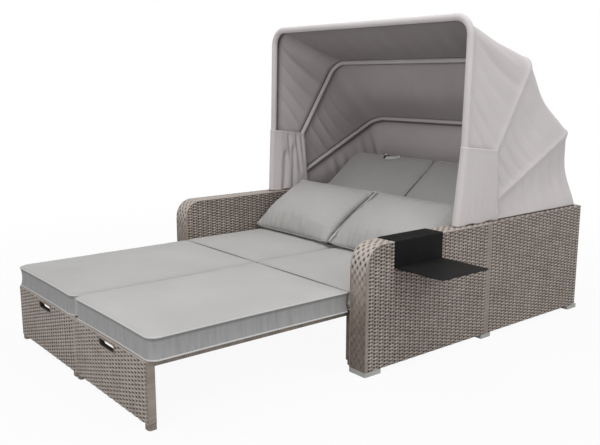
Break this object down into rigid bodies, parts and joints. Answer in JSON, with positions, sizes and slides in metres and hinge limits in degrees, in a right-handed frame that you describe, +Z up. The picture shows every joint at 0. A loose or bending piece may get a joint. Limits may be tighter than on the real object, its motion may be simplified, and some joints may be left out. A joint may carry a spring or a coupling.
{
  "type": "outdoor daybed with canopy",
  "caption": "Woven outdoor daybed with a folding canopy, reclining backrests, pull-out footstools, loose cushions and a hook-on side tray.",
  "frame": {"origin": "on the ground, at the middle of the whole outline seen from above", "axes": "+X across to the tray's side, +Y from the footstools to the back, +Z up"},
  "size_m": [1.756, 2.47, 1.4827],
  "materials": {
    "wicker": "woven flat polyethylene strand, warm grey",
    "wrapped_tube": "tube wrapped in flat strand",
    "foot_plastic": "moulded light grey block",
    "coated_steel": "powder coat, dark grey",
    "tray_coat": "fine textured black powder coat on bent sheet",
    "zinc": "zinc plated",
    "bow_tube": "bent alloy tube, flattened ends",
    "cushion_cloth": "light grey woven polyester with piping",
    "back_cloth": "light grey woven polyester with piping",
    "canopy_cloth": "warm light grey canopy cloth",
    "webbing": "grey webbing with a dark buckle"
  },
  "bodies": {
    "sofa": {"arm_left": "wicker", "rear_side_left": "wicker", "front_foot_left": "foot_plastic", "middle_foot_left": "foot_plastic", "rear_foot_left": "foot_plastic", "canopy_bracket_left": "coated_steel", "ratchet_plate_left": "zinc", "hinge_pin_left": "zinc", "canopy_bolt_left": "zinc", "seat_cushion_left": "cushion_cloth", "canopy_flap_left": "canopy_cloth", "arm_right": "wicker", "rear_side_right": "wicker", "front_foot_right": "foot_plastic", "middle_foot_right": "foot_plastic", "rear_foot_right": "foot_plastic", "canopy_bracket_right": "coated_steel", "ratchet_plate_right": "zinc", "hinge_pin_right": "zinc", "canopy_bolt_right": "zinc", "seat_cushion_right": "cushion_cloth", "canopy_flap_right": "canopy_cloth", "rear_panel": "wicker", "seat_front_apron": "wicker", "rest_rail": "coated_steel", "seat_frame": "coated_steel", "centre_hinge_bracket": "zinc", "centre_hinge_pin": "zinc", "canopy_rear_panel": "canopy_cloth"},
    "rear_bow_body": {"rear_bow": "bow_tube", "canopy_middle_panel": "canopy_cloth"},
    "middle_bow_body": {"middle_bow": "bow_tube", "canopy_front_panel": "canopy_cloth"},
    "front_bow_body": {"front_bow": "bow_tube"},
    "backrest_left": {"backrest_frame_left": "coated_steel", "back_cushion_left": "back_cloth", "cushion_strap_left": "webbing"},
    "pillow_left": {"throw_pillow_left": "cushion_cloth"},
    "footstool_left": {"stool_panel_left": "wicker", "stool_frame_left": "wrapped_tube", "stool_foot_front_inner_left": "wrapped_tube", "stool_foot_front_outer_left": "wrapped_tube", "stool_foot_back_inner_left": "wrapped_tube", "stool_foot_back_outer_left": "wrapped_tube"},
    "footstool_cushion_left": {"stool_cushion_left": "cushion_cloth"},
    "backrest_right": {"backrest_frame_right": "coated_steel", "back_cushion_right": "back_cloth", "cushion_strap_right": "webbing"},
    "pillow_right": {"throw_pillow_right": "cushion_cloth"},
    "footstool_right": {"stool_panel_right": "wicker", "stool_frame_right": "wrapped_tube", "stool_foot_front_inner_right": "wrapped_tube", "stool_foot_front_outer_right": "wrapped_tube", "stool_foot_back_inner_right": "wrapped_tube", "stool_foot_back_outer_right": "wrapped_tube"},
    "footstool_cushion_right": {"stool_cushion_right": "cushion_cloth"},
    "tray": {"side_tray": "tray_coat"}
  },
  "joints": [
    {"name": "canopy_fold", "type": "hinge", "parent": "sofa", "child": "rear_bow_body", "pos_m": [-0.128, 0.337, 0.578], "axis": [-1, 0, 0], "range_deg": [0, 18.2], "deforming": ["canopy_rear_panel", "canopy_flap_left", "canopy_flap_right"]},
    {"name": "middle_bow_fold", "type": "hinge", "parent": "rear_bow_body", "child": "middle_bow_body", "pos_m": [-0.128, 0.337, 0.578], "axis": [-1, 0, 0], "range_deg": [0, 24.21], "deforming": ["canopy_middle_panel"]},
    {"name": "front_bow_fold", "type": "hinge", "parent": "middle_bow_body", "child": "front_bow_body", "pos_m": [-0.128, 0.337, 0.578], "axis": [-1, 0, 0], "range_deg": [0, 24.21], "deforming": ["canopy_front_panel"]},
    {"name": "backrest_recline_left", "type": "hinge", "parent": "sofa", "child": "backrest_left", "pos_m": [-0.448, 0.417, 0.27065], "axis": [-1, 0, 0], "range_deg": [-30, 36.3]},
    {"name": "pillow_slide_left", "type": "slide", "parent": "sofa", "child": "pillow_left", "axis": [0, 1, 0], "range_m": [-0.1155, 0.1396]},
    {"name": "footstool_slide_left", "type": "slide", "parent": "sofa", "child": "footstool_left", "axis": [0, 1, 0], "range_m": [0, 0.9]},
    {"name": "footstool_cushion_fold_left", "type": "hinge", "parent": "sofa", "child": "footstool_cushion_left", "pos_m": [-0.452, -0.32, 0.342], "axis": [-1, 0, 0], "range_deg": [0, 150.1]},
    {"name": "backrest_recline_right", "type": "hinge", "parent": "sofa", "child": "backrest_right", "pos_m": [0.192, 0.417, 0.27065], "axis": [-1, 0, 0], "range_deg": [-30, 36.3]},
    {"name": "pillow_slide_right", "type": "slide", "parent": "sofa", "child": "pillow_right", "axis": [0, 1, 0], "range_m": [-0.1155, 0.1396]},
    {"name": "footstool_slide_right", "type": "slide", "parent": "sofa", "child": "footstool_right", "axis": [0, 1, 0], "range_m": [0, 0.9]},
    {"name": "footstool_cushion_fold_right", "type": "hinge", "parent": "sofa", "child": "footstool_cushion_right", "pos_m": [0.196, -0.32, 0.342], "axis": [-1, 0, 0], "range_deg": [0, 150.1]},
    {"name": "tray_lift", "type": "slide", "parent": "sofa", "child": "tray", "axis": [0, 0, 1], "range_m": [0, 0.15]}
  ],
  "couplings": [
    {"joint": "middle_bow_fold", "follows": "canopy_fold", "ratio": 1.3297},
    {"joint": "front_bow_fold", "follows": "canopy_fold", "ratio": 1.3297},
    {"joint": "pillow_slide_left", "follows": "backrest_recline_left", "m_per_rad": 0.22},
    {"joint": "footstool_cushion_fold_left", "follows": "footstool_slide_left", "rad_per_m": 2.909},
    {"joint": "pillow_slide_right", "follows": "backrest_recline_right", "m_per_rad": 0.22},
    {"joint": "footstool_cushion_fold_right", "follows": "footstool_slide_right", "rad_per_m": 2.909}
  ]
}
